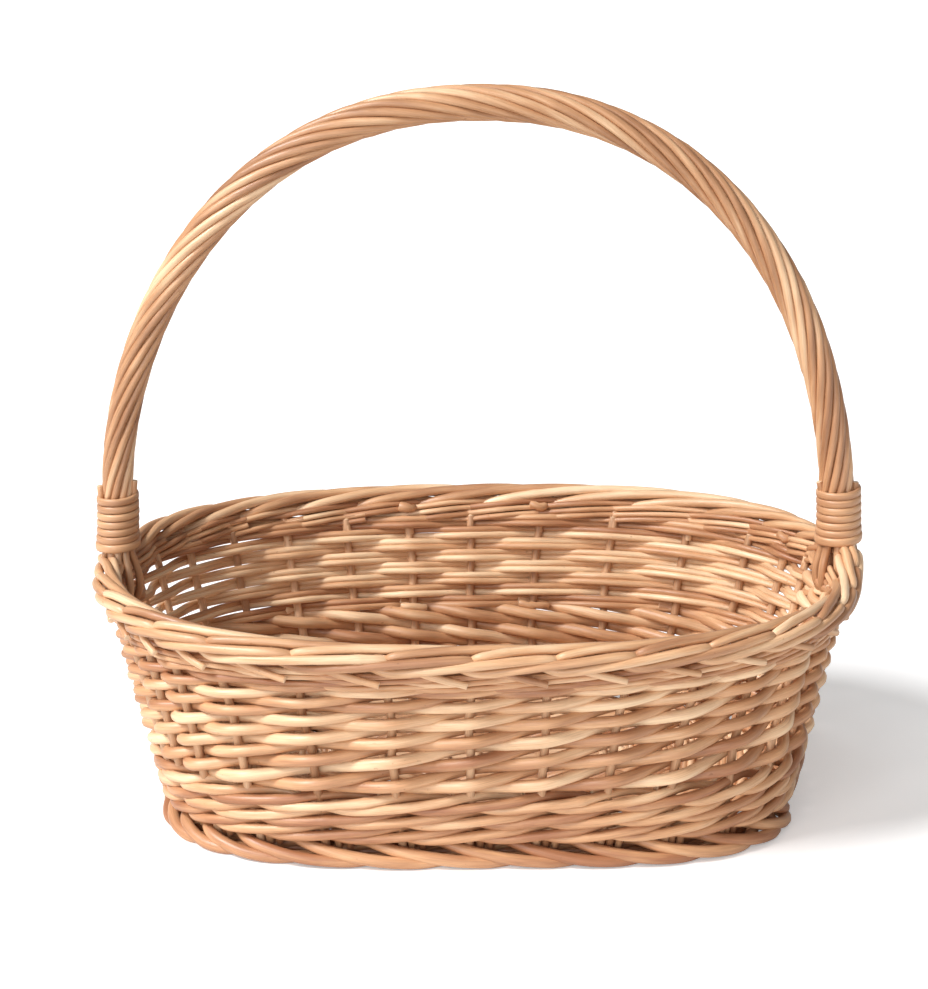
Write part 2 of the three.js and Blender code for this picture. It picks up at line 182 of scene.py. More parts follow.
def wall_point(place, height, out=0.0):
    """Points of the wall from their place around it, their even height, and how far out they stand.

    The front right corner is drawn out of true towards the foot.
    """
    place, height, out = np.broadcast_arrays(*(np.asarray(v, float) for v in (place, height, out)))
    out = out + swelling_at(place, WALL_SWELLS) * np.clip(1 - height / RISE_FROM, 0, 1)
    level = height + rim_rise(place) * np.clip((height - RISE_FROM) / (BORDER_MIDDLE - RISE_FROM), 0, 1)
    ahead = unit(line_point(place + PLACE_STEP, level) - line_point(place - PLACE_STEP, level))
    point = line_point(place, level)
    x = point[..., 0] + ahead[..., 1] * out
    y = point[..., 1] - ahead[..., 0] * out
    return np.stack([x, y, level], -1)


def through(controls, steps):
    """A smooth line through control rows of any width, evenly stepped between them."""
    controls = np.asarray(controls, float)
    padded = np.vstack([2 * controls[0] - controls[1], controls, 2 * controls[-1] - controls[-2]])
    share = np.linspace(0, 1, steps, endpoint=False)[:, None]
    pieces = []
    for a, b, c, d in zip(padded, padded[1:], padded[2:], padded[3:]):
        slope = (c - a) * share
        bend = (2 * a - 5 * b + 4 * c - d) * share**2
        change = (3 * b - 3 * c + d - a) * share**3
        pieces.append(0.5 * (2 * b + slope + bend + change))
    pieces.append(controls[-1:])
    return np.vstack(pieces)


def respaced(rows, spacing):
    """Rows at even steps of about the spacing along the path in their first three columns."""
    length = length_along(rows[:, :3])
    wanted = np.linspace(0, length[-1], max(int(length[-1] / spacing), 3) + 1)
    return rows_at(wanted, length, rows)


class Rods:
    """Rods of one piece, each a closed tube, with what their material needs to know of each point."""

    def __init__(self, tones=ROD_TONES):
        self.tones = tones
        self.points = []
        self.faces = []
        self.grain = []
        self.tone = []
        self.cut = []
        self.count = 0

    def add(self, path, radius, flat=1.0, guide=None, squareness=2.0, spacing=RING_SPACING, knots=0.5):
        """A rod along a path. Flat is its depth along the guide's direction over its width."""
        tone = random.uniform(*self.tones)
        columns = [path, np.broadcast_to(radius, len(path))[:, None]]
        if guide is not None:
            columns.append(np.broadcast_to(guide, (len(path), 3)))
        rows = respaced(np.hstack(columns), spacing)
        path = rows[:, :3]
        radius = rows[:, 3] * (1 + RADIUS_VARIATION * random.uniform(-1, 1))
        along = np.arange(len(path)) * np.linalg.norm(path[1] - path[0])
        for _ in range(random.poisson(knots)):
            middle = random.uniform(along[0], along[-1])
            radius = radius * (1 + KNOT_SWELLING * bell(along - middle, KNOT_REACH))
        forward = unit(np.gradient(path, axis=0))
        sideways = self.transported(forward) if guide is None else unit(np.cross(forward, rows[:, 4:]))
        upward = np.cross(sideways, forward)

        # Each ring's point of the path, how far past it the ring lies and its size, both in radii
        before = [(0, -lift, size) for lift, size in reversed(CUT_END_RINGS)]
        after = [(len(path) - 1, lift, size) for lift, size in CUT_END_RINGS]
        stations = np.array(before + [(i, 0, 1) for i in range(len(path))] + after)
        index = stations[:, 0].astype(int)
        lift = stations[:, 1] * radius[index]
        size = stations[:, 2] * radius[index]
        middle = path[index] + forward[index] * lift[:, None]

        turn = np.linspace(0, 2 * math.pi, SIDES, endpoint=False)
        wide = np.sign(np.cos(turn)) * np.abs(np.cos(turn)) ** (2 / squareness)
        high = np.sign(np.sin(turn)) * np.abs(np.sin(turn)) ** (2 / squareness) * flat
        across = wide[None, :, None] * sideways[index][:, None]
        deep = high[None, :, None] * upward[index][:, None]
        rings = middle[:, None] + size[:, None, None] * (across + deep)
        start = path[0] - forward[0] * radius[0] * CUT_END_TIP
        end = path[-1] + forward[-1] * radius[-1] * CUT_END_TIP

        offset = random.uniform(0, GRAIN_LENGTH)
        grain = np.zeros((len(stations), SIDES, 3))
        grain[..., 0] = (along[index] + lift)[:, None] + offset
        grain[..., 1] = size[:, None] * np.cos(turn)
        grain[..., 2] = size[:, None] * np.sin(turn)
        cut = np.zeros((len(stations), SIDES))
        cut[:2] = 1
        cut[-2:] = 1

        first = self.count
        total = len(stations) * SIDES
        last = first + total - SIDES
        tip = first + total
        ring = first + np.arange(len(stations) - 1)[:, None] * SIDES
        side = np.arange(SIDES)
        following = (side + 1) % SIDES
        corners = [ring + side, ring + following, ring + SIDES + following, ring + SIDES + side]
        self.faces += np.stack(corners, -1).reshape(-1, 4).tolist()
        self.faces += [(tip, first + b, first + a) for a, b in zip(side, following)]
        self.faces += [(tip + 1, last + a, last + b) for a, b in zip(side, following)]
        self.points += [rings.reshape(-1, 3), start[None], end[None]]
        self.grain += [grain.reshape(-1, 3), [[offset, 0, 0]], [[offset + along[-1], 0, 0]]]
        self.cut += [cut.reshape(-1), [1, 1]]
        self.tone.append(np.full(total + 2, tone))
        self.count += total + 2

    @staticmethod
    def transported(forward):
        """A direction across the path that turns as little as it can along it."""
        guide = np.array([0, 0, 1]) if abs(forward[0][2]) < 0.9 else np.array([1, 0, 0])
        normal = unit(np.cross(forward[0], guide))
        normals = []
        for direction in forward:
            normal = normal - direction * (normal @ direction)
            normal = normal / math.sqrt(normal @ normal)
            normals.append(normal)
        return np.array(normals)

    def build(self, name, material, nodes):
        mesh = bpy.data.meshes.new(name)
        mesh.from_pydata(np.vstack(self.points).tolist(), [], self.faces)
        mesh.shade_smooth()
        grain = mesh.attributes.new("grain", "FLOAT_VECTOR", "POINT")
        grain.data.foreach_set("vector", np.vstack(self.grain).astype(np.float32).ravel())
        for attribute, values in (("tone", self.tone), ("cut", self.cut)):
            data = mesh.attributes.new(attribute, "FLOAT", "POINT").data
            data.foreach_set("value", np.concatenate(values).astype(np.float32))
        mesh.materials.append(material)
        piece = bpy.data.objects.new(name, mesh)
        bpy.context.scene.collection.objects.link(piece)
        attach(piece, "root")
        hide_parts(*nodes)


# The willow's marks. Finenesses are per metre, along the rod and twice across it.
BLOTCH_FINENESS = (24, 170, 170)
STREAK_FINENESS = (70, 2600, 2600)
SPECK_FINENESS = (330, 420, 420)
BLOTCH_CONTRAST = 1.3
STREAK_SHADES = [(0.3, (0.78, 0.74, 0.7)), (0.62, (1.06, 1.06, 1.05))]
STREAK_STRENGTH = 0.75
SPECK_SHADES = [(0.2, (0.45, 0.3, 0.2)), (0.26, (1, 1, 1))]
SPECK_STRENGTH = 0.4
CUT_COLOUR = (0.9, 0.72, 0.5)
CUT_STRENGTH = 0.6
GRAIN_DEPTH = 0.25 * MM
GRAIN_STRENGTH = 0.35
BLOTCH_HEIGHT = 0.8  # over that of the streaks
STREAK_ROUGHNESS = 0.2
SHINE = 0.6


def willow(name, dark, middle, light, roughness):
    """Peeled willow: each rod has its own tone, with long grain, faint blotches and pale cut ends."""
    material = bpy.data.materials.new(name)
    material.use_nodes = True
    nodes = material.node_tree.nodes
    links = material.node_tree.links
    shader = nodes["Principled BSDF"]

    def node(kind, **values):
        made = nodes.new(kind)
        for key, value in values.items():
            setattr(made, key, value)
        return made

    def feed(socket, value):
        """Give a socket a number or a colour, or link it to an output."""
        if isinstance(value, (int, float)):
            socket.default_value = value
        elif isinstance(value, tuple):
            socket.default_value = (*value, 1)
        else:
            links.new(value, socket)

    def attribute(label, output):
        return node("ShaderNodeAttribute", attribute_name=label).outputs[output]

    def noise(fineness, detail):
        mapping = node("ShaderNodeMapping")
        mapping.inputs["Scale"].default_value = fineness
        links.new(attribute("grain", "Vector"), mapping.inputs["Vector"])
        texture = node("ShaderNodeTexNoise")
        texture.inputs["Scale"].default_value = 1
        texture.inputs["Detail"].default_value = detail
        links.new(mapping.outputs["Vector"], texture.inputs["Vector"])
        return texture.outputs["Fac"]

    def maths(operation, first, second):
        made = node("ShaderNodeMath", operation=operation)
        for socket, value in zip(made.inputs, (first, second)):
            feed(socket, value)
        return made.outputs[0]

    def ramp(value, stops):
        made = node("ShaderNodeValToRGB")
        elements = made.color_ramp.elements
        while len(elements) < len(stops):
            elements.new(0.5)
        for element, (position, colour) in zip(elements, stops):
            element.position = position
            element.color = (*colour, 1)
        links.new(value, made.inputs["Fac"])
        return made.outputs["Color"]

    def mix(kind, factor, first, second):
        made = node("ShaderNodeMix", data_type="RGBA", blend_type=kind)
        for socket, value in (("Factor", factor), ("A", first), ("B", second)):
            feed(made.inputs[socket], value)
        return made.outputs["Result"]

    blotches = noise(BLOTCH_FINENESS, 3)
    streaks = noise(STREAK_FINENESS, 4)
    specks = noise(SPECK_FINENESS, 1)
    blotching = maths("MULTIPLY", maths("SUBTRACT", blotches, 0.5), BLOTCH_CONTRAST)
    tone = maths("ADD", attribute("tone", "Fac"), blotching)
    colour = ramp(tone, [(0.05, dark), (0.5, middle), (0.95, light)])
    colour = mix("MULTIPLY", STREAK_STRENGTH, colour, ramp(streaks, STREAK_SHADES))
    colour = mix("MULTIPLY", SPECK_STRENGTH, colour, ramp(specks, SPECK_SHADES))
    colour = mix("MIX", maths("MULTIPLY", attribute("cut", "Fac"), CUT_STRENGTH), colour, CUT_COLOUR)
    links.new(colour, shader.inputs["Base Color"])

    bump = node("ShaderNodeBump")
    bump.inputs["Strength"].default_value = GRAIN_STRENGTH
    bump.inputs["Distance"].default_value = GRAIN_DEPTH
    height = maths("ADD", streaks, maths("MULTIPLY", blotches, BLOTCH_HEIGHT))
    links.new(height, bump.inputs["Height"])
    links.new(bump.outputs["Normal"], shader.inputs["Normal"])
    roughening = maths("MULTIPLY", streaks, STREAK_ROUGHNESS)
    links.new(maths("ADD", roughening, roughness - STREAK_ROUGHNESS / 2), shader.inputs["Roughness"])
    shader.inputs["Specular IOR Level"].default_value = SHINE
    return material


wall_willow = willow(
    "wall_willow",
    dark=(0.4, 0.17, 0.08),
    middle=(0.68, 0.375, 0.195),
    light=(0.94, 0.675, 0.43),
    roughness=0.4,
)
border_willow = willow(
    "border_willow",
    dark=(0.44, 0.21, 0.105),
    middle=(0.71, 0.41, 0.22),
    light=(0.93, 0.675, 0.44),
    roughness=0.38,
)
# The stakes' willow, also used for the base sticks: darker than the wall's as painted shade where the stakes
# show in the gaps between rods, with a yellower hue of its own
stake_willow = willow(
    "stake_willow",
    dark=(0.42, 0.21, 0.105),
    middle=(0.62, 0.36, 0.2),
    light=(0.8, 0.53, 0.33),
    roughness=0.5,
)
handle_willow = willow(
    "handle_willow",
    dark=(0.3, 0.13, 0.06),
    middle=(0.6, 0.32, 0.165),
    light=(0.92, 0.65, 0.41),
    roughness=0.36,
)


# How rods run in the wall
WOBBLE_WAVES = ((1.3, 1), (3.1, 0.7), (6.7, 0.4))  # how quick and how strong
TAUTNESS = 0.85
LEG_ROOM = 0.9 * MM
LEG_ROOM_REACH = 0.4
ROD_WAVER = 0.25 * MM
BACK_CHANGE = 2.2  # how quickly the front's weave gives way to the back's
SAMPLES_PER_PLACE = 16


def wobble(place, size):
    """A small smooth waver along a rod, of its own for each rod."""
    phases = random.uniform(0, 2 * math.pi, len(WOBBLE_WAVES))
    waves = 0
    total_weight = 0
    for (speed, weight), phase in zip(WOBBLE_WAVES, phases):
        waves = waves + weight * np.sin(speed * place + phase)
        total_weight += weight
    return size * waves / total_weight


def pulled(swing):
    """A wave from 1 to -1 with straight flanks and tight turns, as a taut rod takes round stakes."""
    return np.arcsin(TAUTNESS * swing) / math.asin(TAUTNESS)


def near_leg(place, reach):
    """1 at a leg of the handle, falling off to 0 over the reach in places."""
    apart = np.abs((place + PLACES / 4) % (PLACES / 2) - PLACES / 4)
    return bell(apart, reach)


def past_stakes(place, radius):
    """How far out a rod passes the stakes' middle, with more room at the legs."""
    return STAKE_RADIUS + radius + LEG_ROOM * near_leg(place, LEG_ROOM_REACH)


def back_share(place):
    """1 along the back and 0 along the front, with a smooth change round each end."""
    return np.clip(0.5 + BACK_CHANGE * np.sin(2 * math.pi * place / PLACES), 0, 1)


def on_front_side(place):
    return (place % PLACES) >= PLACES / 2 or place % PLACES == 0


# The stakes, from the foot up into the border
STAKE_DEPTH_IN_FOOT = 5 * MM
STAKE_DEPTH_IN_BORDER = 1 * MM
STAKE_FOOT_RADIUS = 2.35 * MM
STAKE_LEAN = 0.03
STAKE_BENDS_PER_METRE = 60
STAKE_SAMPLES = 30


def make_stakes():
    rods = Rods()
    bottom = FOOT_TOP - STAKE_DEPTH_IN_FOOT
    height = np.linspace(bottom, rim_low.z + STAKE_DEPTH_IN_BORDER, STAKE_SAMPLES)
    radius = np.interp(height, [FOOT_TOP, rim_low.z], [STAKE_FOOT_RADIUS, STAKE_RADIUS])
    for place in range(PLACES):
        if place % (PLACES // 2) == 0:
            continue
        around = place + wobble(height * STAKE_BENDS_PER_METRE, STAKE_LEAN)
        rods.add(wall_point(around, height), radius, spacing=STRAIGHT_RING_SPACING)
    rods.build("stakes", stake_willow, [f"stake_{n:02d}" for n in range(1, 33)])


# Cut tips of rods on the inside of the back
CUT_TIP_RADIUS = 1.9 * MM
CUT_TIP_SLANT = 0.9 * MM
CUT_TIP_SAMPLES = 14


def cut_tip(rods, stake, height, half_length):
    """The cut tip of a rod, lying across the inside of a stake and bent a little round it."""
    share = np.linspace(-1, 1, CUT_TIP_SAMPLES)
    out = -STAKE_RADIUS - CUT_TIP_RADIUS * (1.3 - 0.9 * share**2 + 0.5 * share)
    place = stake + half_length * share + wobble(share, 0.03)
    level = height + share * CUT_TIP_SLANT + wobble(3 * share, 0.5 * MM)
    radius = CUT_TIP_RADIUS * (1 + wobble(9 * share, 0.2))
    rods.add(wall_point(place, level, out), radius, knots=3)


# The French rands: each rod goes in front of one stake and behind the next, rising all the way.
# A turn is two places. They climb to the border along the front, and two turns high along the back.
FRENCH_ROUNDS = 6
BACK_FRENCH_ROUNDS = 2
FRENCH_TURNS = np.arange(-1, 7)
FRONT_HEIGHTS = np.array([39.0, 49.3, 63.2, 74.9, 85.5, 95.3, 103.2, 109.5]) * MM
FRONT_RADII = np.array([3.3, 3.25, 3.15, 3.1, 2.85, 2.65, 2.35, 1.65]) * MM
FRONT_LATE_RISE = -0.3
LEFT_CORNER_THINNING = ((18.5, 2.5, 0.12),)  # place, reach and share of the radius
BACK_FIRST_HEIGHT = 52.6 * MM
BACK_TURN_RISE = 10.6 * MM
BACK_RIGHT_LIFT = ((2, 1.8, 4 * MM),)
BACK_RADIUS = 3.2 * MM
BACK_LATE_RISE = 0.8
LEAD = 0.62  # before a rod's first turn, in turns
LEAD_AT_LOW_BACK = 1.35
TAIL_AT_FRONT = 0.58  # after its last turn, in turns
TAIL_AT_BACK = 0.12
SAMPLES_PER_TURN = 40
FRENCH_HEIGHT_WAVER = 0.45 * MM
FRENCH_TIP_STAKES = (7, 9)
FRENCH_TIP_HEIGHT = 65 * MM
FRENCH_TIP_HALF_LENGTH = 0.2  # in places


def french_rod(rods, start, first, last):
    """One rod from its first to its last turn. It starts inside, and ends there or, at the back, outside."""
    lead = LEAD if first > 0 or on_front_side(start) else LEAD_AT_LOW_BACK
    tail = TAIL_AT_FRONT if on_front_side(start + 2 * last) else TAIL_AT_BACK
    samples = SAMPLES_PER_TURN * (last - first + 1) + SAMPLES_PER_TURN // 2
    turns = np.linspace(first - lead, last + tail, samples)
    place = start + 2 * turns
    back = back_share(place)
    late_rise = FRONT_LATE_RISE + (BACK_LATE_RISE - FRONT_LATE_RISE) * back
    climb = turns + late_rise * (1 - np.cos(2 * math.pi * turns)) / (2 * math.pi)
    heights = through(np.stack([FRENCH_TURNS, FRONT_HEIGHTS], 1), CURVE_STEPS)
    in_front = np.interp(climb, heights[:, 0], heights[:, 1])
    behind = BACK_FIRST_HEIGHT + BACK_TURN_RISE * climb + swelling_at(place, BACK_RIGHT_LIFT)
    height = in_front + (behind - in_front) * back + wobble(place, FRENCH_HEIGHT_WAVER)
    thinning = 1 - swelling_at(place, LEFT_CORNER_THINNING)
    radius = np.interp(turns, FRENCH_TURNS, FRONT_RADII) * thinning * (1 - back) + BACK_RADIUS * back
    out = past_stakes(place, radius) * pulled(np.cos(2 * math.pi * turns)) + wobble(place, ROD_WAVER)
    rods.add(wall_point(place, height, out), radius)


def make_french_rands():
    rods = Rods()
    for start in range(PLACES):
        shown = [
            turn < BACK_FRENCH_ROUNDS or on_front_side(start + 2 * turn)
            for turn in range(FRENCH_ROUNDS)
        ]
        first = None
        for turn, here in enumerate(shown):
            if here and first is None:
                first = turn
            if here and not any(shown[turn + 1:turn + 2]):
                french_rod(rods, start, first, turn)
                first = None
    for stake in FRENCH_TIP_STAKES:
        cut_tip(rods, stake, FRENCH_TIP_HEIGHT, FRENCH_TIP_HALF_LENGTH)
    nodes = [f"side_weave_{n:02d}" for n in (1, 2, 3, 4, 5)]
    rods.build("french_rands", wall_willow, nodes)


# The slewing of the back: pairs of thin rods, inside at every other stake
SLEW_ROWS = 8
SLEW_BOTTOM = 66.2 * MM
SLEW_ROW_HEIGHT = 6.3 * MM
SLEW_PLACES = [0.5, 3.2, 11, 15.5]
SLEW_RADII = np.array([1.4, 1.87, 1.87, 1.35]) * MM
SLEW_PAIRING = np.array([0.9, 1.6, 1.6, 0.8]) * MM
SLEW_PAIR_DEPTH = 0.4 * MM
SLEW_OVERHANG = 0.75  # past the legs, in places
SLEW_SAMPLES = 460
WALL_LEAN = 0.32


def make_slewing():
    rods = Rods()
    place = np.linspace(-SLEW_OVERHANG, PLACES / 2 + SLEW_OVERHANG, SLEW_SAMPLES)
    thickness = np.interp(place, SLEW_PLACES, SLEW_RADII)
    pairing = np.interp(place, SLEW_PLACES, SLEW_PAIRING)
    reach = past_stakes(place, thickness)
    for row in range(SLEW_ROWS):
        inside = pulled(np.cos(math.pi * (place + row)))
        level = SLEW_BOTTOM + row * SLEW_ROW_HEIGHT + wobble(place, ROD_WAVER)
        for side in (-1, 1):
            out = -reach * inside + side * SLEW_PAIR_DEPTH + wobble(place, ROD_WAVER)
            height = level + side * pairing - WALL_LEAN * out + wobble(place, 0.2 * MM)
            rods.add(wall_point(place, height, out), thickness * (1 + wobble(place, 0.08)), knots=4)
    nodes = [f"side_weave_{n:02d}" for n in (6, 7, 8, 9, 10)]
    rods.build("slewing", wall_willow, nodes)


# Waling: three rods, each in front of two stakes and behind one
WALE_STROKE = through([  # place, out and rise, both as a share of their full measure
    (0, 0, -1.2),
    (0.5, 0.95, -1),
    (1.5, 0.95, 1),
    (2, 0, 1.15),
    (2.5, -1, 0.1),
    (3, 0, -1.2),
], CURVE_STEPS)
WALE_SEAM = 8  # place at the back where the rows start and end
WALE_LEAD = 0.3
WALE_OVERLAP = 0.4
WALE_WAVER = 0.3 * MM


def waling_row(rods, level, radius, rise, start, back_lift=0.0):
    for rod in range(3):
        first = WALE_SEAM + start + rod
        end = first + PLACES + WALE_OVERLAP
        place = np.linspace(first - WALE_LEAD, end, SAMPLES_PER_PLACE * PLACES)
        out, rising = rows_at((place - first) % 3, WALE_STROKE[:, 0], WALE_STROKE[:, 1:]).T
        out = (STAKE_RADIUS + radius) * out + wobble(place, WALE_WAVER)
        height = level + rise * rising - WALL_LEAN * out
        height = height + back_lift * back_share(place)
        height = height + wobble(place, WALE_WAVER)
        rods.add(wall_point(place, height, out), radius * (1 + wobble(place, 0.06)), knots=8)


UPSETT_ROWS = 3
UPSETT_ROD_RADIUS = 2.6 * MM
UPSETT_RISE = 2.2 * MM
# The upsett's rods keep a darker range of tones than the wall's, painted shade near the floor; within it
# each rod's tone differs at random
UPSETT_TONES_WITH_PAINTED_SHADE = (0.04, 0.64)


def make_upsett():
    rods = Rods(UPSETT_TONES_WITH_PAINTED_SHADE)
    row_height = (upsett_high.z - upsett_low.z) / UPSETT_ROWS
    for row in range(UPSETT_ROWS):
        level = upsett_low.z + (row + 0.5) * row_height
        waling_row(rods, level, UPSETT_ROD_RADIUS, UPSETT_RISE, row)
    rods.build("upsett_waling", wall_willow, ["upsett_wale"])


TOP_WALE_LEVELS = np.array([107.2, 110.5, 113.8]) * MM
TOP_WALE_ROD_RADIUS = 1.5 * MM
TOP_WALE_RISE = 1.3 * MM
TOP_WALE_BACK_LIFT = 5.6 * MM
TOP_TIP_STAKES = (3, 7, 9)
TOP_TIP_HEIGHT = 119.4 * MM
TOP_TIP_HALF_LENGTH = 0.1  # in places


def make_top_waling():
    rods = Rods()
    for row, level in enumerate(TOP_WALE_LEVELS):
        waling_row(rods, level, TOP_WALE_ROD_RADIUS, TOP_WALE_RISE, row * 2, TOP_WALE_BACK_LIFT)
    for stake in TOP_TIP_STAKES:
        cut_tip(rods, stake, TOP_TIP_HEIGHT, TOP_TIP_HALF_LENGTH)
    rods.build("top_waling", wall_willow, ["top_wale"])


# The border: each stake comes up inside the roll, makes a knuckle, goes over the top and down the
# inside, comes out below, rises along the outside and ends as a stub.
BORDER_PATH = np.array([  # place, out, height over the border's middle
    (-0.02, 0.0, -16.4), (-0.01, 0.2, -10.4), (0.0, 1.6, -3.4), (0.03, 6.1, 2.7),
    (0.09, 6.9, 4.5), (0.22, 6.5, 5.6), (0.45, 4.9, 6.5), (0.8, 3.2, 7.0),
    (1.2, 1.6, 7.0), (1.6, 0.2, 6.4), (2.0, -1.1, 4.9), (2.35, -1.4, 3.2),
    (2.62, 0.6, 0.6), (2.85, 4.0, -2.3), (3.1, 7.6, -4.3), (3.5, 9.8, -2.0),
    (4.0, 10.0, 0.7), (4.5, 9.3, 2.8), (4.85, 8.2, 3.6), (5.02, 6.8, 2.5),
    (5.2, 4.4, -1.2), (5.38, 5.2, -4.6), (5.62, 7.6, -7.4), (5.93, 9.6, -10.4),
]) * np.array([1, MM, MM])
BORDER_SHARE = [0, 0.06, 0.13, 0.19, 0.3, 0.8, 1]
BORDER_RADII = np.array([2.1, 2.1, 1.85, 2.1, 2.45, 2.35, 1.8]) * MM
LEFT_END_INSET = 3 * MM
LEFT_END_REACH = 1.3
STUB_START = 5.2
STUB_FULL_AFTER = 0.6
STUB_TUCK = 3.5 * MM
STUB_TUCK_REACH = 2


def make_border():
    rods = Rods()
    path = through(BORDER_PATH, PATH_STEPS)
    radius = np.interp(np.linspace(0, 1, len(path)), BORDER_SHARE, BORDER_RADII)
    stub = np.clip((path[:, 0] - STUB_START) / STUB_FULL_AFTER, 0, 1)
    for stake in range(PLACES):
        place = stake + path[:, 0] + wobble(path[:, 0], 0.02)
        out = path[:, 1] + wobble(path[:, 0], ROD_WAVER)
        out = out - STUB_TUCK * stub * near_leg(place, STUB_TUCK_REACH)
        out = out - LEFT_END_INSET * bell(place % PLACES - PLACES / 2, LEFT_END_REACH)
        height = BORDER_MIDDLE + path[:, 2] + wobble(path[:, 0], ROD_WAVER)
        rods.add(wall_point(place, height, out), radius, knots=1)
    rods.build("rim_roll", border_willow, ["rim_border"])


# The foot border: thick rods that come over the top from inside, go down the outside and under, and
# up the inside again, with the stakes' ends between them and rods laid round inside
FOOT_PATH = np.array([  # place, out, height
    (-0.55, -8.2, 7.0), (-0.5, -7.5, 8.8), (-0.3, -4.5, 10.6), (-0.12, -1.5, 11.3),
    (0.02, 1.4, 10.9), (0.25, 3.9, 9.1), (0.6, 5.5, 6.8), (1.1, 6.4, 4.3),
    (1.6, 5.2, 3.3), (2.0, 0.2, 3.3), (2.4, -5.2, 4.8), (2.8, -8.4, 7.4),
    (3.15, -8.6, 9.6), (3.5, -8.3, 10.4), (3.85, -7.8, 10.2),
]) * np.array([1, MM, MM])
FOOT_SHIFT = -0.3
FOOT_ROD_RADIUS = 3.15 * MM
FOOT_SHARE = [0, 0.18, 0.26, 0.4, 0.65, 1]
FOOT_THICKNESS = np.array([0.75, 0.7, 0.85, 1, 1, 0.8])
# The foot's rods keep a darker range of tones than the wall's, painted shade near the floor; within it each
# rod's tone differs at random
FOOT_TONES_WITH_PAINTED_SHADE = (0, 0.42)
FOOT_CLEARANCE = 1.04  # of a rod's middle over the floor, in radii
FOOT_WAVER = 0.2 * MM
FOOT_SWELLS = ((17.7, 1, -3 * MM), (32.4, 1, -9 * MM))  # place, reach and how far out
STAKE_END_PLACES = (0.15, 0.3)
STAKE_END_HEIGHTS = np.linspace(16.5, 8.5, 6) * MM
STAKE_END_OUT = -1 * MM
STAKE_END_RADIUS = 1.9 * MM
FOOT_RINGS = (  # out and height, and the places where the rod starts and ends
    (-8.5 * MM, 3.2 * MM, WALE_SEAM, WALE_SEAM + PLACES + WALE_OVERLAP),
    (-9.5 * MM, 8 * MM, WALE_SEAM, WALE_SEAM + PLACES + WALE_OVERLAP),
    (-2.5 * MM, 13 * MM, 31, 37),
)
FOOT_RING_RADIUS = 2.5 * MM


def foot_point(place, out, height):
    """Points out from the wall's line on top of the foot, at their own heights."""
    return np.column_stack([wall_point(place, FOOT_TOP, out)[:, :2], height])


def make_foot():
    rods = Rods(FOOT_TONES_WITH_PAINTED_SHADE)
    path = through(FOOT_PATH, PATH_STEPS)
    radius = FOOT_ROD_RADIUS * np.interp(np.linspace(0, 1, len(path)), FOOT_SHARE, FOOT_THICKNESS)
    for stake in range(PLACES):
        place = stake + FOOT_SHIFT + path[:, 0]
        out = path[:, 1] + wobble(place, FOOT_WAVER) + swelling_at(place, FOOT_SWELLS)
        height = np.maximum(path[:, 2] + wobble(place, FOOT_WAVER), foot_low.z + radius * FOOT_CLEARANCE)
        rods.add(foot_point(place, out, height), radius, knots=0)
        for end_place in STAKE_END_PLACES:
            rods.add(wall_point(stake + end_place, STAKE_END_HEIGHTS, STAKE_END_OUT), STAKE_END_RADIUS)
    for out, height, first, last in FOOT_RINGS:
        place = np.linspace(first, last, int(SAMPLES_PER_PLACE * (last - first)))
        path = foot_point(place, out + wobble(place, 0.4 * MM), height + wobble(place, 0.3 * MM))
        rods.add(path, FOOT_RING_RADIUS)
    rods.build("foot_roll", wall_willow, ["foot_border"])


# The base: long sticks through split cross sticks, fanned out to the wall, with trebled rods woven
# over and under them in rounds
LONG_STICKS = 5
CROSS_STICKS = 9
SPOKES = 2 * (LONG_STICKS + CROSS_STICKS)
MIDDLE_STICK = LONG_STICKS // 2
CROSSING_HALF_LENGTH = 76 * MM
CROSSING_HALF_WIDTH = 13 * MM
BASE_STICK_RADIUS = 2.2 * MM
STICK_SAMPLES = 12
CROSS_STICK_START = -0.02  # of the way from the crossing to the wall
SPLIT_HALF_LENGTH = 1.15  # over the crossing's half width
SPLIT_SAMPLES = 16
SPLIT_GAP = 3 * MM
SPLIT_BEND = 1.25
SPLIT_FLATNESS = 0.6
SPLIT_RING_SPACING = 3 * MM
BASE_ROUNDS = 8
BASE_ROD_RADIUS = 1.95 * MM
BASE_THICKNESS = 9 * MM
BASE_WEAVE_THICKNESS = 6 * MM
BASE_WAVE = 2.5 * MM
BASE_ROD_WAVE = BASE_WAVE + 1 * MM
BASE_LANE_STEP = 0.31
BASE_LOOP_START = 5  # in spokes after the start of the loop before
BASE_LOOP_OVERLAP = 0.6
BASE_ROD_SAMPLES = 560
BASE_RIM_DROP = 4.5 * MM
BASE_RIM_MIDDLE = base_high.z - BASE_THICKNESS / 2 - BASE_RIM_DROP
BASE_MIDDLE = base_high.z - BASE_WAVE - BASE_WEAVE_THICKNESS / 2
BASE_DROP_FROM = 0.85
BASE_TIP_OUT = -7.7 * MM


def spoke_roots():
    """Where the sticks leave the crossing, round it from the middle long stick's right end."""
    right = [(1, 2 * (i + 0.5) / LONG_STICKS - 1) for i in range(LONG_STICKS)]
    back = [(1 - 2 * (j + 0.5) / CROSS_STICKS, 1) for j in range(CROSS_STICKS)]
    half = np.array(right + back) * [CROSSING_HALF_LENGTH, CROSSING_HALF_WIDTH]
    return np.roll(np.vstack([half, -half]), -MIDDLE_STICK, axis=0)


def spoke_point(spoke, share):
    """A point of the base at a share of the way from the crossing to the wall."""
    spokes = np.arange(SPOKES + 1)
    roots = np.vstack([spoke_roots(), spoke_roots()[:1]])
    tips = wall_point(spokes * PLACES / SPOKES, BASE_RIM_MIDDLE, BASE_TIP_OUT)[:, :2]
    turned = np.asarray(spoke, float) % SPOKES
    root = rows_at(turned, spokes, roots)
    tip = rows_at(turned, spokes, tips)
    return root + (tip - root) * np.asarray(share)[..., None]


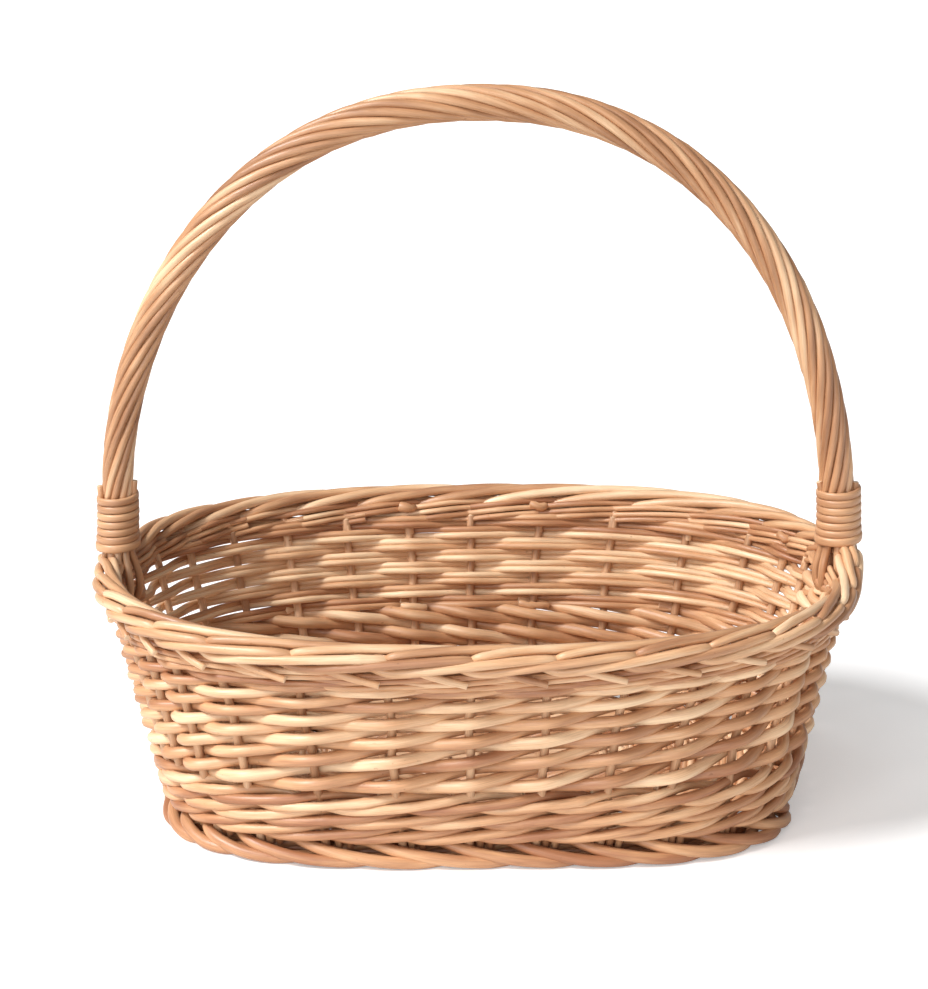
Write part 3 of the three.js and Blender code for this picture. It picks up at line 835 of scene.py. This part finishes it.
def base_level(share):
    """The height of the base's middle, which drops to its rim."""
    drop = np.clip((share - BASE_DROP_FROM) / (1 - BASE_DROP_FROM), 0, 1)
    return BASE_MIDDLE + (BASE_RIM_MIDDLE - BASE_MIDDLE) * drop


def stick_end(spoke, share):
    return np.column_stack([spoke_point(spoke, share), base_level(share)])


def make_base_sticks():
    sticks = Rods()
    outward = np.linspace(0, 1, STICK_SAMPLES)
    for stick in range(LONG_STICKS):
        right_end = stick_end(stick - MIDDLE_STICK, outward)
        left_end = stick_end(SPOKES // 2 + MIDDLE_STICK - stick, outward)
        path = np.vstack([right_end[::-1], left_end])
        sticks.add(path, BASE_STICK_RADIUS, spacing=STRAIGHT_RING_SPACING)
    for stick in range(CROSS_STICKS):
        spoke = MIDDLE_STICK + 1 + stick
        for end in (spoke, SPOKES - spoke):
            path = stick_end(end, np.linspace(CROSS_STICK_START, 1, STICK_SAMPLES))
            sticks.add(path, BASE_STICK_RADIUS, spacing=STRAIGHT_RING_SPACING)
        x, y = spoke_roots()[spoke]
        across = np.linspace(-SPLIT_HALF_LENGTH, SPLIT_HALF_LENGTH, SPLIT_SAMPLES)
        for side in (-1, 1):
            height = BASE_MIDDLE + side * SPLIT_GAP * np.cos(across * SPLIT_BEND)
            path = np.column_stack([np.full(SPLIT_SAMPLES, x), across * y, height])
            sticks.add(
                path,
                BASE_STICK_RADIUS,
                flat=SPLIT_FLATNESS,
                guide=[0, 0, 1],
                spacing=SPLIT_RING_SPACING,
            )
    sticks.build("base_sticks", stake_willow, ["base_weave"])


def make_base_weaving():
    rods = Rods()
    for loop in range(BASE_ROUNDS):
        start = loop * BASE_LOOP_START
        spoke = np.linspace(start, start + SPOKES + BASE_LOOP_OVERLAP, BASE_ROD_SAMPLES)
        wave = pulled(np.cos(math.pi * (spoke + loop)))
        for lane in (-1, 0, 1):
            share = (loop + 0.5 + lane * BASE_LANE_STEP) / BASE_ROUNDS + wobble(spoke, 0.004)
            height = base_level(share) + wave * BASE_ROD_WAVE + wobble(spoke, 0.2 * MM)
            rods.add(np.column_stack([spoke_point(spoke, share), height]), BASE_ROD_RADIUS, knots=6)
    rods.build("base_weaving", wall_willow, ["base_weave"])


# The handle: strands roped round a bow, their ends spread into the border. Sizes in threes are those
# at the left leg, the top and the right leg. Of those by side, -1 is the left leg's and 1 the right's.
HANDLE_SPAN = 378 * MM
HANDLE_SPRING = 11.1 * MM
HANDLE_SQUARENESS = 2.16
HANDLE_TOP_RADIUS = 9.43 * MM
HANDLE_SPACING = 1.5 * MM
ARCH_SAMPLES = 400
LEG_RADIUS = 3 * MM
LEG_SAMPLES = 20
BOW_RADII = (LEG_RADIUS, 5 * MM, LEG_RADIUS)
# The bow keeps the darkest tones as painted shade in the grooves between the strands
BOW_PAINTED_SHADE_TONES = (0, 0.05)
LEG_END_RISE = 1 * MM  # over the bottom of the upsett
LEG_LEAN_HEIGHT = 90 * MM
LEFT_LEG_SHIFT = 2.9 * MM
LEFT_LEG_STRAIGHT = 160 * MM
LEFT_LEG_RETURN = 35 * MM
STRANDS = 10
LAY_LENGTH = 176 * MM
LAY_RADII = np.array([6.05, 7.26, 7.05]) * MM
STRAND_RADII = np.array([1.95, 2.22, 2.2]) * MM
STRAND_TONES = (0.32, 0.72)
STRAND_FLATNESS = 0.97
STRAND_SQUARENESS = 2.1
STRAND_CONTROL_EVERY = 12  # points of the handle's line
STRAND_STEPS = 10
STRAND_END_HEIGHTS = WALL_TOP + np.array([-19, -12, -4, 3]) * MM
STRAND_END_REACHES = np.array([8.0, 10.4, 10.2, 8.2]) * MM
STRAND_BUNCHES = 4
STRAND_BUNCHING = 0.2
BINDING_BOTTOM = {-1: 10.2 * MM, 1: 7.9 * MM}  # above the border

leg_bottom = WALL_TOP + 0.3 * MM
wall_half = line_point(0, np.array(leg_bottom))[0]


def arch_points(samples):
    """The handle's middle line from the left leg over the top to the right one, in y = 0."""
    spring = WALL_TOP + HANDLE_SPRING
    rise = handle_top - HANDLE_TOP_RADIUS - spring
    across, up = squared_arc(math.pi * (1 - np.linspace(0, 1, samples)), HANDLE_SQUARENESS).T
    height = spring + up * rise
    lean = np.clip((height - leg_bottom) / LEG_LEAN_HEIGHT, 0, 1)
    half = wall_half + (HANDLE_SPAN / 2 - wall_half) * lean
    return np.stack([across * half, np.zeros(samples), height], 1)


def left_leg_shift(height):
    """The left leg stands a little further in than the right one."""
    rising = np.clip((height - upsett_high.z) / (leg_bottom - upsett_high.z), 0, 1)
    returning = np.exp(-np.maximum(height - LEFT_LEG_STRAIGHT, 0) / LEFT_LEG_RETURN)
    return LEFT_LEG_SHIFT * rising * returning


def handle_frames():
    """The handle's middle line, its outward directions and the length up to each point."""
    ends = [[side * wall_half, 0, leg_bottom] for side in (-1, 1)]
    path = respaced(np.vstack([ends[:1], arch_points(ARCH_SAMPLES), ends[1:]]), HANDLE_SPACING)
    path[:, 0] += left_leg_shift(path[:, 2]) * (path[:, 0] < 0)
    forward = unit(np.gradient(path, axis=0))
    return path, np.cross(forward, [0, 1, 0]), length_along(path)


handle_path, handle_outward, handle_length = handle_frames()


def along_handle(share, sizes):
    """A size at a share of the handle's length, from its three sizes."""
    left, top, right = sizes
    middle = np.sin(math.pi * share) ** 2
    return top * middle + (left + (right - left) * share) * (1 - middle)


def leg_axis(side, height):
    """Points of a leg's middle line down through the border and the wall."""
    flat = line_point(0 if side > 0 else PLACES / 2, height)
    return np.column_stack([flat[:, 0] + left_leg_shift(height) * (side < 0), flat[:, 1], height])


def strand_end(side, angle):
    """The end of a strand below the binding, splayed in one of four bunches with dark gaps between."""
    bunched = angle - STRAND_BUNCHING * math.sin(STRAND_BUNCHES * angle)
    direction = np.array([side * math.cos(bunched), -math.sin(bunched), 0])
    points = direction * STRAND_END_REACHES[:, None]
    points[:, 0] += side * wall_half + LEFT_LEG_SHIFT * (side < 0)
    points[:, 2] = STRAND_END_HEIGHTS
    return np.hstack([points, np.broadcast_to(direction, points.shape)])


def make_handle():
    share = handle_length / handle_length[-1]
    lay = along_handle(share, LAY_RADII)
    depthwise = np.array([0, 1, 0])
    # Below the bindings the strands splay
    kept = handle_length > BINDING_BOTTOM[-1]
    kept &= handle_length < handle_length[-1] - BINDING_BOTTOM[1]
    for number in range(STRANDS):
        rods = Rods(STRAND_TONES)
        turn = 2 * math.pi * (number / STRANDS + handle_length / LAY_LENGTH)
        radial = handle_outward * np.cos(turn)[:, None] - depthwise * np.sin(turn)[:, None]
        roped = np.hstack([handle_path + radial * lay[:, None], radial])
        rows = through(np.vstack([
            strand_end(-1, turn[kept][0]),
            roped[kept][::STRAND_CONTROL_EVERY],
            strand_end(1, turn[kept][-1])[::-1],
        ]), STRAND_STEPS)
        rods.add(
            rows[:, :3],
            along_handle(np.linspace(0, 1, len(rows)), STRAND_RADII),
            flat=STRAND_FLATNESS,
            guide=rows[:, 3:],
            squareness=STRAND_SQUARENESS,
            knots=3,
        )
        name = f"handle_strand_{number + 1:02d}"
        rods.build(name, handle_willow, [f"handle_rod_{number + 1:02d}"])

    # The bow in its darkest tones is painted shade where it shows between the strands
    core = Rods(BOW_PAINTED_SHADE_TONES)
    heights = np.linspace(upsett_low.z + LEG_END_RISE, leg_bottom, LEG_SAMPLES)
    path = np.vstack([leg_axis(-1, heights)[:-1], handle_path, leg_axis(1, heights)[::-1][1:]])
    radius = along_handle(np.linspace(0, 1, len(path)), BOW_RADII)
    core.add(path, radius, spacing=STRAIGHT_RING_SPACING)
    core.build("handle_bow", handle_willow, ["handle_core"])


# The bindings: a flat ribbon wound close round the foot of each leg, with strand tips held under it
BINDING_TURNS = 7
SAMPLES_PER_BINDING_TURN = 36
BINDING_RISE = 4.15 * MM
BINDING_FIRST_RISE = 0.4 * MM
BINDING_TONES = (0.22, 0.42)
BINDING_RADII = {-1: 9.9 * MM, 1: 10.7 * MM}
BINDING_SHIFT = {-1: 0, 1: 0.9 * MM}
BINDING_SPREAD = 0.8 * MM  # at the bottom
BINDING_SPREAD_TURNS = 2.5  # after which it is gone
BINDING_TUCK = 2 * MM
BINDING_TUCK_TURNS = 0.2
RIBBON_HALF_WIDTHS = [2.4 * MM, 2.05 * MM]  # at the bottom and above
RIBBON_WIDTH_TURNS = [0.6, 1.2]  # between which it narrows
RIBBON_FLATNESS = 0.58
RIBBON_SQUARENESS = 3
RIBBON_RING_SPACING = 1.6 * MM
TIP_BOTTOM = 26 * MM
TIP_TOPS = {-1: (47 * MM, 44.5 * MM), 1: (41 * MM, 40.5 * MM)}  # on the inner and the outer side
TIP_BOTTOM_REACH = 7.6 * MM
TIP_REACHES = {-1: (8.9 * MM, 8.9 * MM), 1: (10.3 * MM, 8.9 * MM)}
TIP_DEPTH = -2 * MM
TIP_RADIUS = 1.6 * MM
TIP_SAMPLES = 8


def on_leg(side, rise):
    """Points of a binding's middle line from their distance along the leg above the border."""
    distance = handle_length[-1] - rise if side > 0 else rise
    return rows_at(distance, handle_length, handle_path) + np.array([BINDING_SHIFT[side], 0, 0])


def make_binding(name, side):
    rods = Rods(BINDING_TONES)
    turns = np.linspace(0, BINDING_TURNS, SAMPLES_PER_BINDING_TURN * BINDING_TURNS)
    rise = BINDING_BOTTOM[side] + BINDING_FIRST_RISE + BINDING_RISE * turns
    radius = BINDING_RADII[side] + np.interp(turns, [0, BINDING_SPREAD_TURNS], [BINDING_SPREAD, 0])
    ends = [0, BINDING_TUCK_TURNS, BINDING_TURNS - BINDING_TUCK_TURNS, BINDING_TURNS]
    tuck = np.interp(turns, ends, [BINDING_TUCK, 0, 0, BINDING_TUCK])
    angle = 2 * math.pi * turns + math.pi / 2
    radial = np.stack([np.cos(angle), np.sin(angle), np.zeros_like(angle)], -1)
    rods.add(
        on_leg(side, rise) + radial * (radius - tuck)[:, None],
        np.interp(turns, RIBBON_WIDTH_TURNS, RIBBON_HALF_WIDTHS),
        flat=RIBBON_FLATNESS,
        guide=radial,
        squareness=RIBBON_SQUARENESS,
        spacing=RIBBON_RING_SPACING,
        knots=0,
    )
    for outward, top, top_reach in zip((-side, side), TIP_TOPS[side], TIP_REACHES[side]):
        reach = np.linspace(TIP_BOTTOM_REACH, top_reach, TIP_SAMPLES)
        beside = np.column_stack([outward * reach, np.full(TIP_SAMPLES, TIP_DEPTH), np.zeros(TIP_SAMPLES)])
        rods.add(on_leg(side, np.linspace(TIP_BOTTOM, top, TIP_SAMPLES)) + beside, TIP_RADIUS, knots=1)
    rods.build(name, border_willow, [name])


# The camera, fitted to the photograph's outline
CAMERA_AZIMUTH = math.radians(-2.76)
CAMERA_ELEVATION = math.radians(17.76)
CAMERA_DISTANCE = 1.5945
CAMERA_LENS = 118.83
CAMERA_LOOKS_AT = Vector((-6.7 * MM, 0, 165.3 * MM))


def make_camera():
    away = Vector((
        math.sin(CAMERA_AZIMUTH) * math.cos(CAMERA_ELEVATION),
        -math.cos(CAMERA_AZIMUTH) * math.cos(CAMERA_ELEVATION),
        math.sin(CAMERA_ELEVATION),
    ))
    data = bpy.data.cameras.new("camera")
    data.sensor_fit = "HORIZONTAL"
    data.sensor_width = 36
    data.lens = CAMERA_LENS
    data.clip_end = 50
    camera = bpy.data.objects.new("camera", data)
    camera.location = CAMERA_LOOKS_AT + away * CAMERA_DISTANCE
    camera.rotation_euler = (-away).to_track_quat("-Z", "Y").to_euler()
    bpy.context.scene.collection.objects.link(camera)
    bpy.context.scene.camera = camera


# The studio: a white floor, a soft key light from the upper left, a softer and weaker one from the
# front left, and a white world
WHITE = (1, 1, 1, 1)
FLOOR_HALF_SIZE = 12
FLOOR_COLOUR = (0.93, 0.93, 0.93, 1)
FLOOR_GLOW = 0.31
SUNS = (  # name, direction of travel, strength and spread in degrees
    ("key", (1, 0.42, -1.1), 3.38, 20),
    ("front", (0.5, 1, -0.35), 1.4, 50),
)
WORLD_FILL = 0.27


def make_floor():
    """The floor, a little brighter to the camera than to the object, so that the shadow stays pale."""
    mesh = bpy.data.meshes.new("floor")
    size = FLOOR_HALF_SIZE
    corners = [(-size, -size, 0), (size, -size, 0), (size, size, 0), (-size, size, 0)]
    mesh.from_pydata(corners, [], [(0, 1, 2, 3)])
    material = bpy.data.materials.new("floor_white")
    material.use_nodes = True
    nodes = material.node_tree.nodes
    links = material.node_tree.links
    shader = nodes["Principled BSDF"]
    shader.inputs["Base Color"].default_value = FLOOR_COLOUR
    shader.inputs["Roughness"].default_value = 0.9
    shader.inputs["Specular IOR Level"].default_value = 0.1
    shader.inputs["Emission Color"].default_value = WHITE
    glow = nodes.new("ShaderNodeMath")
    glow.operation = "MULTIPLY"
    glow.inputs[1].default_value = FLOOR_GLOW
    links.new(nodes.new("ShaderNodeLightPath").outputs["Is Camera Ray"], glow.inputs[0])
    links.new(glow.outputs[0], shader.inputs["Emission Strength"])
    mesh.materials.append(material)
    floor = bpy.data.objects.new("floor", mesh)
    bpy.context.scene.collection.objects.link(floor)


def make_light():
    for name, travel, strength, spread in SUNS:
        sun = bpy.data.lights.new(name, "SUN")
        sun.energy = strength
        sun.angle = math.radians(spread)
        lamp = bpy.data.objects.new(name, sun)
        lamp.rotation_euler = Vector(travel).to_track_quat("-Z", "Y").to_euler()
        bpy.context.scene.collection.objects.link(lamp)

    world = bpy.data.worlds.new("studio")
    world.use_nodes = True
    nodes = world.node_tree.nodes
    links = world.node_tree.links
    fill = nodes["Background"]
    seen = nodes.new("ShaderNodeBackground")
    for background, strength in ((fill, WORLD_FILL), (seen, 1)):
        background.inputs["Color"].default_value = WHITE
        background.inputs["Strength"].default_value = strength
    chooser = nodes.new("ShaderNodeMixShader")
    links.new(nodes.new("ShaderNodeLightPath").outputs["Is Camera Ray"], chooser.inputs[0])
    links.new(fill.outputs[0], chooser.inputs[1])
    links.new(seen.outputs[0], chooser.inputs[2])
    links.new(chooser.outputs[0], nodes["World Output"].inputs["Surface"])
    bpy.context.scene.world = world
    bpy.context.scene.view_settings.view_transform = "Standard"


make_camera()
make_floor()
make_light()
make_stakes()
make_french_rands()
make_slewing()
make_upsett()
make_top_waling()
make_border()
make_foot()
make_base_sticks()
make_base_weaving()
make_handle()
make_binding("binding_left", -1)
make_binding("binding_right", 1)
